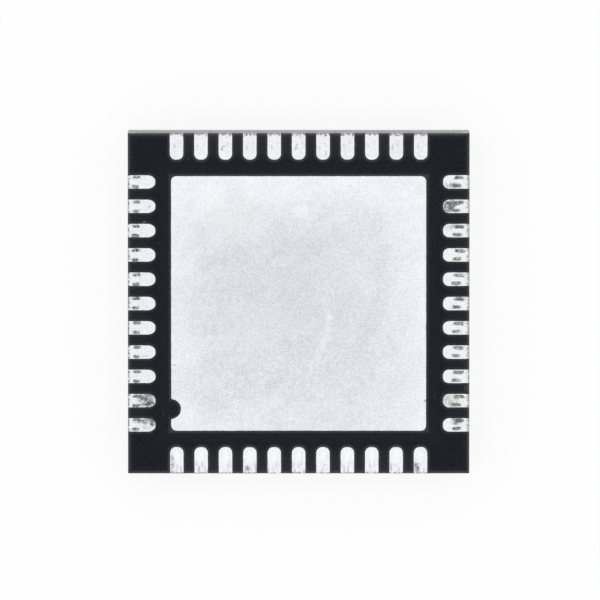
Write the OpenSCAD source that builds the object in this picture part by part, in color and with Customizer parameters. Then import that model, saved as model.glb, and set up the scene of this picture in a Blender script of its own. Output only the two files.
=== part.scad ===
// Leadless chip package with a row of leads on each side and an exposed pad.
// It is modelled as it is mounted, with the terminals on z = 0 and the die above them,
// and is turned over at the end, so that it lies on its marked face with the terminals up.

/* [Package] */
// Leads along each side
leads_per_side = 11; // [9:1:13]
// Distance between the centres of neighbouring leads
lead_pitch = 0.5; // [0.45:0.01:0.65]
// Distance from the last lead's centre to the package's corner
corner_margin = 1; // [0.95:0.05:1.5]
// Overall height, from the terminals to the marked face
package_height = 0.9; // [0.8:0.05:1.2]
// Height by which the terminals stand proud of the moulding
standoff = 0.02; // [0.01:0.01:0.05]
// Diameter of the pin 1 dimple in the marked face
dimple_diameter = 0.5; // [0.3:0.05:0.8]
// Depth of the pin 1 dimple
dimple_depth = 0.03; // [0.02:0.01:0.08]
// Distance from the dimple's centre to the two nearest walls
dimple_inset = 0.7; // [0.6:0.05:1.2]

/* [Lead frame] */
// Thickness of the copper sheet
frame_thickness = 0.2; // [0.15:0.01:0.25]
// Depth etched away from the terminal side, under the ledges
etch_depth = 0.1; // [0.06:0.01:0.12]
// Width of a lead
lead_width = 0.28; // [0.2:0.01:0.32]
// Exposed length of a lead, from the wall to its tip
lead_length = 0.55; // [0.4:0.01:0.6]
// Radius of the two corners at a lead's tip
lead_tip_radius = 0.11; // [0.05:0.01:0.13]
// Length of the half-etched ledge past a lead's tip
lead_ledge = 0.07; // [0.04:0.01:0.1]
// Width of the half-etched tie bars
tie_bar_width = 0.2; // [0.12:0.01:0.24]

/* [Exposed pad] */
// Gap between the leads' tips and the pad
lead_pad_gap = 0.325; // [0.25:0.005:0.5]
// Radius of the pad's corners
pad_corner_radius = 0.11; // [0.05:0.01:0.3]
// Width of the half-etched ledge round the pad
pad_ledge = 0.1; // [0.05:0.01:0.15]
// Radius of the pin 1 notch in the pad's edge
notch_radius = 0.2; // [0.1:0.01:0.25]
// Distance from the notch's centre to the pad's nearest corner
notch_offset = 0.45; // [0.4:0.01:1]

/* [Die and wires] */
// Side of the square die
die_side = 3.6; // [2.6:0.1:4]
// Thickness of the die
die_thickness = 0.25; // [0.15:0.01:0.3]
// Thickness of the die-attach layer
attach_thickness = 0.025; // [0.02:0.005:0.05]
// Width by which the die-attach layer shows round the die
attach_margin = 0.08; // [0.04:0.01:0.12]
// Distance from a bond on the die to the die's edge
die_bond_inset = 0.1; // [0.06:0.01:0.2]
// Distance from the last bond on a side to the die's corner
bond_corner = 0.3; // [0.2:0.01:0.5]
// Diameter of the bond wires
wire_diameter = 0.025; // [0.018:0.001:0.038]
// Height of a wire's loop above the die
loop_height = 0.15; // [0.12:0.01:0.2]
// Radius of a wire's bend at the top of its loop
bend_radius = 0.05; // [0.04:0.01:0.08]
// Width by which the balls at a wire's ends stand out round the wire
ball_rim = 0.02; // [0.015:0.001:0.03]
// Height of a ball's centre above the face that it is pressed on
ball_seat = 0.02; // [0.02:0.001:0.025]
// Distance from a bond on a lead to the lead's exposed tip
lead_bond_inset = 0.12; // [0.08:0.01:0.2]

/* [Hidden] */
$fn = 48;
side_count = 4;
lead_count = side_count * leads_per_side;
lead_row = (leads_per_side - 1) * lead_pitch;
package_side = lead_row + 2 * corner_margin;
package_half = package_side / 2;
pad_side = package_side - 2 * (lead_length + lead_pad_gap);
ledge_thickness = frame_thickness - etch_depth;
die_top = frame_thickness + attach_thickness + die_thickness;
bond_row = die_side - 2 * bond_corner;
ball_radius = wire_diameter / 2 + ball_rim;
// A wire is a little thicker in its bend, and its straight runs reach into the bend
bend_diameter = wire_diameter * 1.04;
bend_lap = wire_diameter / 6;

function lead_name(pin) = str("lead_", pin < 10 ? "0" : "", pin);
function lead_side(pin) = floor((pin - 1) / leads_per_side);
// Place along a side, from 1/2 at its first pin to -1/2 at its last
function row_share(pin) = 1 / 2 - ((pin - 1) % leads_per_side) / (leads_per_side - 1);

// Turns the mounted package over on to its marked face
module turned_over() {
    translate([0, 0, package_height])
        rotate([180, 0, 0])
            children();
}

// Moves a shape from the first side to the side that holds a pin
module on_side(pin) {
    rotate([0, 0, lead_side(pin) * 360 / side_count])
        children();
}

module rounded_square(side, radius) {
    square([side, side - 2 * radius], center = true);
    square([side - 2 * radius, side], center = true);
    for (x = [-1, 1], y = [-1, 1])
        translate([x, y] * (side / 2 - radius))
            circle(radius);
}

// A lead's outline from the wall at x = 0 to its tip, with the tip's corners rounded
module lead_outline(reach) {
    shank = reach - lead_tip_radius;
    tip_width = lead_width - 2 * lead_tip_radius;
    translate([0, -lead_width / 2])
        square([shank, lead_width]);
    translate([0, -tip_width / 2])
        square([reach, tip_width]);
    for (y = [-1, 1])
        translate([shank, y * tip_width / 2])
            circle(lead_tip_radius);
}

module lead_shape(pin) {
    on_side(pin)
        translate([-package_half, row_share(pin) * lead_row, 0]) {
            linear_extrude(frame_thickness)
                lead_outline(lead_length);
            translate([0, 0, etch_depth])
                linear_extrude(ledge_thickness)
                    lead_outline(lead_length + lead_ledge);
        }
}

// The exposed pad's outline with the pin 1 notch in its first side
module pad_outline() {
    difference() {
        rounded_square(pad_side, pad_corner_radius);
        translate([-pad_side / 2, pad_side / 2 - notch_offset])
            circle(notch_radius);
    }
}

// The ledge round the pad and the tie bars, cut off at the package's walls
module ledge_outline() {
    rounded_square(pad_side + 2 * pad_ledge, pad_corner_radius);
    intersection() {
        square(package_side, center = true);
        for (turn = [45, 135])
            rotate(turn)
                square([2 * package_side, tie_bar_width], center = true);
    }
}

module paddle_shape() {
    linear_extrude(frame_thickness)
        pad_outline();
    translate([0, 0, etch_depth])
        linear_extrude(ledge_thickness)
            ledge_outline();
}

module attach_shape() {
    translate([0, 0, frame_thickness])
        linear_extrude(attach_thickness)
            square(die_side + 2 * attach_margin, center = true);
}

module die_shape() {
    translate([0, 0, frame_thickness + attach_thickness])
        linear_extrude(die_thickness)
            square(die_side, center = true);
}

// The ball at a wire's end, pressed flat where it sits
module bond_ball() {
    rotate_extrude()
        intersection() {
            translate([0, ball_seat])
                circle(ball_radius);
            square([ball_radius, 2 * ball_radius]);
        }
}

// One wire in the XZ plane, from its ball at x = 0 on the die to its ball on a lead
module wire_loop(span) {
    bend_centre = [bend_radius, die_top + loop_height - bend_radius];
    wire_end = [span, frame_thickness + ball_seat];
    run = wire_end - bend_centre;
    slope = atan2(-run[1], run[0]) + asin(bend_radius / norm(run));
    slant = sqrt(run * run - bend_radius * bend_radius);
    bend_end = bend_centre + bend_radius * [sin(slope), cos(slope)];
    neck = loop_height - bend_radius - ball_seat;

    translate([0, 0, die_top])
        bond_ball();
    translate([0, 0, die_top + ball_seat])
        cylinder(h = neck + bend_lap, d = wire_diameter);
    translate([bend_centre[0], 0, bend_centre[1]])
        rotate([90, 0, 0])
            rotate(90 - slope)
                rotate_extrude(angle = 90 + slope)
                    translate([bend_radius, 0])
                        circle(d = bend_diameter);
    translate([bend_end[0], 0, bend_end[1]])
        rotate([0, 90 + slope, 0])
            translate([0, 0, -bend_lap])
                cylinder(h = slant + bend_lap, d = wire_diameter);
    translate([span, 0, frame_thickness])
        bond_ball();
}

module wire_shape(pin) {
    on_die = [die_bond_inset - die_side / 2, row_share(pin) * bond_row];
    on_lead = [lead_length - lead_bond_inset - package_half, row_share(pin) * lead_row];
    run = on_lead - on_die;
    on_side(pin)
        translate(on_die)
            rotate(atan2(run[1], run[0]))
                wire_loop(norm(run));
}

module mould_shape() {
    difference() {
        translate([-package_half, -package_half, standoff])
            cube([package_side, package_side, package_height - standoff]);
        translate([dimple_inset - package_half, package_half - dimple_inset, package_height - dimple_depth])
            cylinder(h = 2 * dimple_depth, d = dimple_diameter);
        paddle_shape();
        attach_shape();
        die_shape();
        for (pin = [1 : lead_count]) {
            lead_shape(pin);
            wire_shape(pin);
        }
    }
}

module mould_body() {
    color("#1f2228")
        turned_over()
            mould_shape();
}

module die_paddle() {
    color("#d9dadc")
        turned_over()
            paddle_shape();
}

module die_attach() {
    color("#8f9296")
        turned_over()
            attach_shape();
}

module silicon_die() {
    color("#4b505c")
        turned_over()
            die_shape();
}

module bond_wires() {
    color("#d8b25a")
        turned_over()
            for (pin = [1 : lead_count])
                wire_shape(pin);
}

module lead(pin) {
    color("#e6e7e9")
        turned_over()
            lead_shape(pin);
}

mould_body();
die_paddle();
die_attach();
silicon_die();
bond_wires();
for (pin = [1 : lead_count])
    lead(pin);
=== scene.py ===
import math

import bmesh
import bpy
from mathutils import Matrix, Vector, geometry, noise


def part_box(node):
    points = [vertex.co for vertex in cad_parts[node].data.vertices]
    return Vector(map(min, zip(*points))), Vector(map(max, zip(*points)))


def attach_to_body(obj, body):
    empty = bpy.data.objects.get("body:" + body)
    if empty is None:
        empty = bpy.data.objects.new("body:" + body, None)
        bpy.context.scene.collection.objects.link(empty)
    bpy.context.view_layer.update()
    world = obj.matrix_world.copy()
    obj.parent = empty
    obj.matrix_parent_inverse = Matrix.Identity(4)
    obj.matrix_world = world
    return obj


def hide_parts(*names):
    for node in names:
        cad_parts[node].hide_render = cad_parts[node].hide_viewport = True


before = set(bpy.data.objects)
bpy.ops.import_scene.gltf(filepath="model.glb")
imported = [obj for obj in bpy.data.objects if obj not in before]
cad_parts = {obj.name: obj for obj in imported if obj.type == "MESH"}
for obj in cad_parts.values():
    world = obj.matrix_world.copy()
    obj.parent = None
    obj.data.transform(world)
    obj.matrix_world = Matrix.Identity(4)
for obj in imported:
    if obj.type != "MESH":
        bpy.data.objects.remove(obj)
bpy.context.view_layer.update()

# Meshes are made in millimetres and turned into metres when they are finished
MM = 0.001


def box_mm(node):
    """Lowest and highest corner of a node, in millimetres."""
    return tuple(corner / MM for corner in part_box(node))


# Places and sizes that the frame gives
_, MOULD_HIGH = box_mm("mould_body")
LEAD_LOW, LEAD_HIGH = box_mm("lead_06")
ATTACH_LOW, ATTACH_HIGH = box_mm("die_attach")
DIE_LOW, DIE_HIGH = box_mm("silicon_die")
WALL = MOULD_HIGH.x
MOULD_TOP = MOULD_HIGH.z
TERMINAL_TOP = LEAD_HIGH.z
FRAME_INNER = LEAD_LOW.z
LEAD_WIDTH = LEAD_HIGH.y - LEAD_LOW.y
LEAD_REACH = LEAD_HIGH.x - LEAD_LOW.x
LEAD_PITCH = box_mm("lead_02")[0].y - box_mm("lead_01")[0].y
SIDES = ("left", "far", "right", "near")
LEADS_PER_SIDE = sum(name.startswith("lead_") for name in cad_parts) // len(SIDES)
LEAD_ROW = (LEADS_PER_SIDE - 1) * LEAD_PITCH

# Forms inside the nodes, in millimetres
LEAD_LEDGE = 0.07
LEAD_LENGTH = LEAD_REACH - LEAD_LEDGE
# Width of a round corner at a tip, and each side's exposed length and length of the round tip
TIP_WIDTH = 0.12
LEAD_TIPS = {"left": (0.567, 0.165), "far": (0.544, 0.125), "right": (0.544, 0.125), "near": (0.546, 0.125)}
LEDGE_THICKNESS = 0.1
LEDGE_TOP = FRAME_INNER + LEDGE_THICKNESS
LEDGE_UNDERCUT = 0.002
PAD_SIDE = 5.25
PAD_HALF = PAD_SIDE / 2
PAD_CORNER = 0.11
# Shares of the drawn pad that etching leaves along X and Y
PAD_ETCHED = (0.9965, 0.9985)
PAD_LEDGE = 0.1
TIE_BAR_WIDTH = 0.2
NOTCH_RADIUS = 0.2
NOTCH_LIP = 0.03
NOTCH_FROM_CORNER = 0.45
NOTCH_Y = NOTCH_FROM_CORNER - PAD_HALF
DIMPLE_FROM_WALL = 0.7
DIMPLE_RADIUS = 0.25
DIMPLE_DEPTH = 0.03
DIMPLE_RIM = 0.008
# Wires are bonded inside the die's edge, in rows that stop short of its corners, and behind the lead tips
BOND_FROM_EDGE = 0.1
BOND_FROM_CORNER = 0.3
BOND_FROM_TIP = 0.12
DIE_BOND = DIE_HIGH.x - BOND_FROM_EDGE
BOND_ROW = 2 * (DIE_HIGH.x - BOND_FROM_CORNER)
LEAD_BOND = WALL - LEAD_LENGTH + BOND_FROM_TIP
WIRE_RADIUS = 0.0125
LOOP_HEIGHT = 0.15
BEND_RADIUS = 0.05
BALL_RADIUS = 0.0325
BALL_SEAT = 0.02

# Edges, in millimetres
PLATED_ROUNDING = 0.012
# Share of that rounding at a sawn end
SAWN_ROUNDING = 0.5
EDGE_WANDER = 0.012
WANDER_PER_MM = 9.0
# The wander grows from the wall inwards, at this rate per millimetre
WANDER_GROWTH = 12.0
CHIP_LEAST = 0.004
CHIP_MOST = 0.02
CHIPS_PER_MM = 3.5
# Fine chips to each coarse one, and how much both kinds count
FINE_CHIPS = 5
COARSE_CHIP_SHARE = 0.9
FINE_CHIP_SHARE = 0.5
# How far a chipped edge's middle ring stays from both faces, as a share of the chip
CHIP_BEVEL = 0.3
CORNER_NICK = 0.008
CUT_PAST = 0.05

# Steps along the outlines
SAWN_STEPS = 160
LEAD_STEPS = 12
PAD_STEPS = 100
NOTCHED_EDGE_STEPS = 90
CORNER_STEPS = 8
NOTCH_STEPS = 24
LIP_STEPS = 5
ROUNDING_STEPS = 4
DIMPLE_STEPS = 60
BEND_STEPS = 6
WIRE_SIDES = 10
BALL_SEGMENTS = 16
BALL_RINGS = 8

# How squarely a face looks along an axis when it counts as level, or as sawn
LEVEL = 0.9999
SAWN = 0.9
# Edges that turn by more than these angles show as sharp, in degrees
SHARP_EDGE = 38
SHARP_WIRE_EDGE = 60

# Camera, with its distance in metres
SENSOR_WIDTH = 36
PIXELS = 600
PIXELS_PER_MM = 48.8
CHIP_MIDDLE_PX = (298.65, 303.6)
CAMERA_LEAN = math.radians(5.2)
CAMERA_DISTANCE = 0.28


def placed(name, data):
    """A new object in the scene."""
    thing = bpy.data.objects.new(name, data)
    bpy.context.scene.collection.objects.link(thing)
    return thing


def make_camera():
    """Looks down on the terminals with a slight lean, so that a strip of the far wall shows."""
    data = bpy.data.cameras.new("camera")
    data.sensor_width = SENSOR_WIDTH
    data.lens = SENSOR_WIDTH * CAMERA_DISTANCE * PIXELS_PER_MM / (PIXELS * MM)
    data.clip_start = CAMERA_DISTANCE / 100
    data.clip_end = CAMERA_DISTANCE * 100
    camera = placed("camera", data)
    right = (PIXELS / 2 - CHIP_MIDDLE_PX[0]) / PIXELS_PER_MM
    up = (CHIP_MIDDLE_PX[1] - PIXELS / 2) / PIXELS_PER_MM
    aim = Vector((right, up, TERMINAL_TOP)) * MM
    back = Vector((0, math.sin(CAMERA_LEAN), math.cos(CAMERA_LEAN)))
    camera.location = aim + back * CAMERA_DISTANCE
    camera.rotation_euler = (-CAMERA_LEAN, 0, 0)
    bpy.context.scene.camera = camera


# Nodes

# What a noise varies around
NOISE_MIDDLE = 0.5
# Takes the height out of a vector
FLAT = (1, 1, 0)


def formula(operation, swapped=False):
    """A method that makes an operator between two values a node."""
    return lambda self, other: calc(operation, *((other, self) if swapped else (self, other)))


class Flow:
    """What comes out of a node, as a value that formulas can take up."""

    __add__ = formula("ADD")
    __radd__ = formula("ADD", swapped=True)
    __sub__ = formula("SUBTRACT")
    __rsub__ = formula("SUBTRACT", swapped=True)
    __mul__ = formula("MULTIPLY")
    __truediv__ = formula("DIVIDE")
    __gt__ = formula("GREATER_THAN")

    def __init__(self, socket):
        self.socket = socket

    def __abs__(self):
        return calc("ABSOLUTE", self)


def feed(node, inputs):
    """Feeds a node's inputs with flows or plain values."""
    for key, value in inputs.items():
        if isinstance(value, Flow):
            node.id_data.links.new(value.socket, node.inputs[key])
        else:
            node.inputs[key].default_value = value


def put(kind, inputs, tree=None, **settings):
    """Adds a node to a tree, by default the one that its inputs come from."""
    flows = [value for value in inputs.values() if isinstance(value, Flow)]
    node = (tree or flows[0].socket.id_data).nodes.new(kind)
    for name, value in settings.items():
        setattr(node, name, value)
    feed(node, inputs)
    return node


def made(kind, inputs, output=0, **settings):
    """One of the things that come out of a new node."""
    return Flow(put(kind, inputs, **settings).outputs[output])


def outputs_of(node):
    """All that comes out of a node, by name."""
    return {socket.name: Flow(socket) for socket in node.outputs}


def spaced(values):
    """Named values by the names of sockets, which have spaces."""
    return {name.replace("_", " "): value for name, value in values.items()}


def is_vector(value):
    """Whether a value is a vector or a colour, and not a number."""
    kind = value.socket.type if isinstance(value, Flow) else type(value)
    return kind in ("VECTOR", "RGBA", tuple)


def calc(operation, *values, clamp=False):
    """The result of a Math node, or of a Vector Math node where the first value is a vector."""
    inputs = dict(enumerate(values))
    if not is_vector(values[0]):
        return made("ShaderNodeMath", inputs, operation=operation, use_clamp=clamp)
    if operation == "MULTIPLY" and not is_vector(values[1]):
        operation = "SCALE"
        inputs = {0: values[0], "Scale": values[1]}
    output = 1 if operation in ("LENGTH", "DOT_PRODUCT") else 0
    return made("ShaderNodeVectorMath", inputs, output, operation=operation)


def larger(*values):
    """The larger of two numbers."""
    return calc("MAXIMUM", *values)


def combined(x, y, z=0.0):
    """A vector from three numbers."""
    return made("ShaderNodeCombineXYZ", {0: x, 1: y, 2: z})


def parts_of(vector):
    """The three numbers of a vector."""
    return [Flow(socket) for socket in put("ShaderNodeSeparateXYZ", {0: vector}).outputs]


def ramp(value, low, high, to_low=0.0, to_high=1.0):
    """A smooth step from to_low at low to to_high at high."""
    inputs = {0: value, 1: low, 2: high, 3: to_low, 4: to_high}
    return made("ShaderNodeMapRange", inputs, interpolation_type="SMOOTHSTEP")


def speckle(place, per_mm, detail=2.0, output=0):
    """A noise around its middle, with about so many spots to the millimetre."""
    return made("ShaderNodeTexNoise", {"Vector": place, "Scale": per_mm, "Detail": detail}, output)


def ripple(place, per_mm, detail=2.0):
    """A noise like speckle's, but around zero."""
    return speckle(place, per_mm, detail) - NOISE_MIDDLE


def blotches(place, per_mm, detail, *levels):
    """A mask from a noise like speckle's, by the levels of a ramp."""
    return ramp(speckle(place, per_mm, detail), *levels)


def from_middle(place):
    """Distance from the chip's middle towards the nearest wall."""
    x, y, _ = parts_of(place)
    return larger(abs(x), abs(y))


def across_lead(along_row):
    """Distance from the middle line of the nearest lead in a row."""
    return calc("WRAP", along_row, LEAD_PITCH / 2, -LEAD_PITCH / 2)


def tint(mask, plain, marked):
    """The plain colour where the mask is 0 and the marked colour where it is 1."""
    return made("ShaderNodeMix", {0: mask, 6: plain, 7: marked}, 2, data_type="RGBA")


def spread_on(colour, mask, strength, tone):
    """A colour with another tone laid over it, as strongly as given."""
    return tint(mask * strength, colour, tone)


def new_tree(kind, name, inputs, outputs):
    """A node tree with named sockets; returns it with what it is given and its output node."""
    tree = bpy.data.node_groups.new(name, kind)
    for way, sockets in (("INPUT", inputs), ("OUTPUT", outputs)):
        for label, socket in sockets.items():
            tree.interface.new_socket(label, in_out=way, socket_type="NodeSocket" + socket)
    return tree, outputs_of(tree.nodes.new("NodeGroupInput")), tree.nodes.new("NodeGroupOutput")


def use(group, **inputs):
    """Places a shared effect and returns all that comes out of it."""
    return outputs_of(put("ShaderNodeGroup", spaced(inputs), node_tree=group))


# Effects that several finishes share

# Blotches: spots per mm, detail, two levels of their noise and the strengths there
MARK_GAPS = (26.0, 2.0, 0.3, 0.58, 0.5, 1.0)
STAIN_MOTTLE = (14.0, 3.0, 0.36, 0.6, 0.35, 1.0)
DRAG_LINES = (26.0, 2.0, 0.5, 0.66)
TARNISH = (7.0, 4.0, 0.4, 0.7, 0.0, 0.8)
SMEARED_TIN = (7.0, 5.0, 0.34, 0.64, 0.3, 1.0)
# Edges of patches
MARK_RIM = {"Ragged": 1.1, "Spots_per_mm": 15.0, "Soft": 0.35}
MARK_MIDDLE = {"Ragged": 1.6, "Spots_per_mm": 24.0, "Soft": 0.5}
STAIN_EDGE = {"Ragged": 1.8, "Spots_per_mm": 15.0, "Soft": 0.45}
# Contact marks: how pale their middles are, the weakest one's strength, and the step that makes each differ
MARK_PALENESS = 0.12
MARK_WEAKEST = 0.85
MARK_SEED_STEP = 1.7
# Scratches: bends per mm, how far they sway, the share of their width that is full, and their gaps
SCRATCH_BENDS_PER_MM = 3.0
SCRATCH_SWAY = 0.08
SCRATCH_CORE = 0.2
SCRATCH_GAPS = (0.35, 0.6, 0.35, 1.0)
# Plated tin: crystals and clusters, and clouds that run slantwise. A stretch multiplies the place, so a
# small factor draws the spots out along its axis
CRYSTALS_PER_MM = 28.0
CRYSTAL_STRETCH = (0.88, 1.1, 1)
CRYSTAL_SHARE = 1.2
CLUSTERS_PER_MM = 9.0
CLUSTER_SHARE = 0.5
CLOUDS_PER_MM = 2.0
CLOUD_STRETCH = (0.7, 1.3, 1)
CLOUD_SLANT = math.radians(-38)
CLOUD_SHARE = 0.45
# Saw streaks: how many times as long as high, how many per mm, and the levels that show as dark and light
STREAK_LENGTH = 22
STREAKS_PER_MM = 1.6
STREAK_LEVELS = (0.3, 0.7)


def fine_grain_group():
    """Fine spots, darker and lighter than their middle tone."""
    inputs = {"Place": "Vector", "Spots per mm": "Float", "Contrast": "Float"}
    tree, given, result = new_tree("ShaderNodeTree", "fine grain", inputs, {"Shade": "Float"})
    swing = ripple(given["Place"], given["Spots per mm"]) * given["Contrast"]
    feed(result, {"Shade": calc("ADD", swing, NOISE_MIDDLE, clamp=True)})
    return tree


def patch_group():
    """One blunt, ragged patch: 1 at its middle and 0 past its edge."""
    inputs = {"Place": "Vector", "Centre": "Vector", "Half Size": "Vector"}
    inputs.update({"Ragged": "Float", "Spots per mm": "Float", "Soft": "Float"})
    tree, given, result = new_tree("ShaderNodeTree", "ragged patch", inputs, {"Mask": "Float"})
    share = (given["Place"] - given["Centre"]) / given["Half Size"] * FLAT
    blunt = calc("SQRT", calc("LENGTH", share * share))
    spots = ripple(given["Place"], given["Spots per mm"])
    reach = calc("MULTIPLY_ADD", spots, given["Ragged"], blunt)
    feed(result, {"Mask": ramp(reach, 1.0 + given["Soft"], 1.0 - given["Soft"])})
    return tree


def scratch_group():
    """One fine broken line between two points."""
    inputs = {"Place": "Vector", "From": "Vector", "To": "Vector", "Width": "Float", "Spots per mm": "Float"}
    tree, given, result = new_tree("ShaderNodeTree", "scratch", inputs, {"Mask": "Float"})
    flat = given["Place"] * FLAT
    bends = speckle(flat, SCRATCH_BENDS_PER_MM, 1.0, "Color") - (NOISE_MIDDLE,) * 3
    here = flat + bends * SCRATCH_SWAY - given["From"]
    length = given["To"] - given["From"]
    along = calc("DOT_PRODUCT", here, length)
    share = calc("DIVIDE", along, calc("DOT_PRODUCT", length, length), clamp=True)
    gap = calc("LENGTH", (here - length * share) * FLAT)
    line = ramp(gap / given["Width"], 1.0, SCRATCH_CORE)
    broken = blotches(given["Place"], given["Spots per mm"], 2.0, *SCRATCH_GAPS)
    feed(result, {"Mask": line * broken})
    return tree


def plated_tin_group():
    """Matt tin: fine crystals in clusters, over soft clouds that run slantwise."""
    outputs = {"Shade": "Float", "Height": "Float"}
    tree, given, result = new_tree("ShaderNodeTree", "plated tin", {"Place": "Vector"}, outputs)
    place = given["Place"]
    crystals = speckle(place * CRYSTAL_STRETCH, CRYSTALS_PER_MM)
    turned = {"Vector": place, "Angle": CLOUD_SLANT}
    slant = made("ShaderNodeVectorRotate", turned, rotation_type="Z_AXIS")
    clouds = speckle(slant * CLOUD_STRETCH, CLOUDS_PER_MM, 3.0)
    clusters = speckle(place, CLUSTERS_PER_MM, 3.0)
    coarse = calc("MULTIPLY_ADD", clusters, CLUSTER_SHARE, clouds * CLOUD_SHARE)
    swing = calc("MULTIPLY_ADD", crystals, CRYSTAL_SHARE, coarse)
    # Brings the sum of the three noises back to the middle of one
    excess = (CRYSTAL_SHARE + CLUSTER_SHARE + CLOUD_SHARE - 1) * NOISE_MIDDLE
    feed(result, {"Shade": calc("SUBTRACT", swing, excess, clamp=True), "Height": crystals})
    return tree


def saw_streak_group():
    """Streaks that the saw leaves along the walls."""
    outputs = {"Shade": "Float", "Height": "Float"}
    tree, given, result = new_tree("ShaderNodeTree", "saw streaks", {"Place": "Vector"}, outputs)
    streaks = speckle(given["Place"] * (1, 1, STREAK_LENGTH), STREAKS_PER_MM, 4.0)
    feed(result, {"Shade": ramp(streaks, *STREAK_LEVELS), "Height": streaks})
    return tree


def contact_mark_group():
    """The two marks that a test contact leaves on each lead of a row, a little different on each."""
    inputs = {"Along Row": "Float", "From Wall": "Float", "Place": "Vector", "Stray": "Float"}
    for end in ("Upper", "Lower"):
        inputs.update({end + " Centre": "Vector", end + " Half Size": "Vector"})
    tree, given, result = new_tree("ShaderNodeTree", "contact marks", inputs, {"Mask": "Float"})
    along = given["Along Row"]
    number = calc("ROUND", along / LEAD_PITCH)
    chance = outputs_of(put("ShaderNodeTexWhiteNoise", {"W": number}, noise_dimensions="1D"))
    off = chance["Color"] - (NOISE_MIDDLE,) * 3
    # The third number only gives each lead a ragged edge of its own
    on_lead = combined(given["From Wall"], across_lead(along), number * MARK_SEED_STEP)
    spot = on_lead + off * given["Stray"]
    masks = []
    for end in ("Upper", "Lower"):
        centre = given[end + " Centre"]
        size = given[end + " Half Size"]
        # A scraped rim with a paler middle, half as large
        whole = use(PATCH, Place=spot, Centre=centre, Half_Size=size, **MARK_RIM)["Mask"]
        middle = use(PATCH, Place=spot, Centre=centre, Half_Size=size * 0.5, **MARK_MIDDLE)["Mask"]
        masks.append(calc("MULTIPLY_ADD", middle, -MARK_PALENESS, whole))
    each = ramp(chance["Value"], 0.0, 1.0, MARK_WEAKEST, 1.0)
    strength = blotches(given["Place"], *MARK_GAPS) * each
    feed(result, {"Mask": larger(*masks) * strength})
    return tree


GRAIN = fine_grain_group()
PATCH = patch_group()
SCRATCH = scratch_group()
TIN = plated_tin_group()
STREAKS = saw_streak_group()
MARKS = contact_mark_group()


# Finishes


def shown(red, green, blue):
    """A colour as it shows on a screen, from 0 to 255, as the linear colour that shaders take."""
    steps = [step / 255 for step in (red, green, blue)]
    return (*(step / 12.92 if step <= 0.04045 else ((step + 0.055) / 1.055) ** 2.4 for step in steps), 1.0)


# Colours as they show, and the places of marks in millimetres from the chip's middle
MOULD_DARK = shown(11, 15, 23)
MOULD_LIGHT = shown(25, 30, 38)
# Painted glow of the bright metal on the moulding, with a little plating film, and its paler fringe
MOULD_FILM_AND_GLOW = shown(43, 44, 49)
MOULD_GLOW_FRINGE = shown(70, 68, 70)
# Paler band of rubbing wear and painted highlight along the sawn edges
MOULD_EDGE_WEAR_AND_HIGHLIGHT = shown(80, 79, 82)
SPECK_GREY = shown(132, 124, 120)
MOULD_SAWN_DARK = shown(77, 79, 86)
MOULD_SAWN_LIGHT = shown(99, 101, 109)
FILLER_CUT = shown(146, 146, 150)
PAD_MIDDLE_DULL = shown(196, 198, 203)
PAD_MIDDLE_SHINY = shown(244, 246, 251)
PAD_EDGE_DULL = shown(222, 224, 232)
PAD_EDGE_SHINY = shown(253, 254, 255)
LEAD_DULL = {
    "left": shown(216, 217, 222),
    "far": shown(218, 219, 223),
    "right": shown(223, 224, 229),
    "near": shown(227, 228, 233),
}
LEAD_SHINY = shown(252, 253, 255)
CONTACT_GREY = shown(46, 44, 45)
STAIN = shown(104, 102, 103)
# Grey of saw burrs and painted shade at the sawn lead ends
BURR_AND_SHADE_GREY = shown(112, 111, 113)
COPPER_DARK = shown(158, 121, 102)
COPPER_LIGHT = shown(184, 146, 125)
COPPER_TARNISH = shown(126, 100, 88)
TIN_SMEARED = shown(186, 186, 190)
# Axis along which the pad gets brighter, where it starts to and where it is brightest, and by how much
PAD_BRIGHT_EDGES = {
    "right": ("X", 1.1, 3.1, 1.2),
    "left": ("X", -1.3, -3.1, 1.0),
    "far": ("Y", 1.1, 2.9, 1.25),
    "near": ("Y", -1.2, -3.1, 0.55),
}
# Both ends of each scuff, its width and its strength
PAD_SCUFFS = [
    ((0.5, 0.06), (0.64, -0.3), 0.1, 0.32),
    ((0.64, -0.3), (0.54, -0.8), 0.1, 0.26),
    ((0.54, -0.8), (0.27, -1.35), 0.13, 0.28),
    ((1.2, -1.62), (0.98, -1.72), 0.08, 0.25),
]
# Centre, half size, strength and tone
PAD_STAINS = [
    ((-0.45, 0.55), (1.7, 1.3), 0.14, PAD_MIDDLE_DULL),
    ((-2.35, 0.0), (0.35, 0.5), 0.12, PAD_MIDDLE_DULL),
    ((2.2, -0.95), (0.35, 0.35), 0.1, PAD_MIDDLE_DULL),
    ((-1.25, 1.75), (0.6, 0.55), 0.2, PAD_EDGE_SHINY),
    ((1.0, 0.85), (0.55, 0.75), 0.14, PAD_EDGE_SHINY),
    ((-1.0, -0.55), (0.5, 0.5), 0.13, PAD_EDGE_SHINY),
    ((0.06, 1.9), (0.14, 0.12), 0.25, PAD_EDGE_SHINY),
    ((2.5, 2.33), (0.09, 0.14), 0.06, STAIN),
    ((2.62, -2.01), (0.05, 0.03), 0.5, STAIN),
    ((-2.57, -1.26), (0.06, 0.014), 0.35, STAIN),
    ((-2.55, -1.4), (0.07, 0.014), 0.25, STAIN),
]
# Dust and chips that show light on the moulding: centre, half size and strength
MOULD_SPECKS = [
    ((-3.16, 1.68), (0.03, 0.016), 0.45),
    ((-2.875, 1.24), (0.016, 0.014), 0.15),
    ((-2.26, 2.96), (0.04, 0.035), 0.05),
    ((3.44, -1.75), (0.04, 0.05), 0.12),
    ((3.34, -1.17), (0.016, 0.02), 0.12),
    ((2.79, -1.91), (0.014, 0.07), 0.06),
    ((-2.77, -2.28), (0.014, 0.06), 0.06),
    ((0.52, -3.47), (0.07, 0.02), 0.6),
    ((-0.9, 2.93), (0.02, 0.02), 0.06),
]
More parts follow.
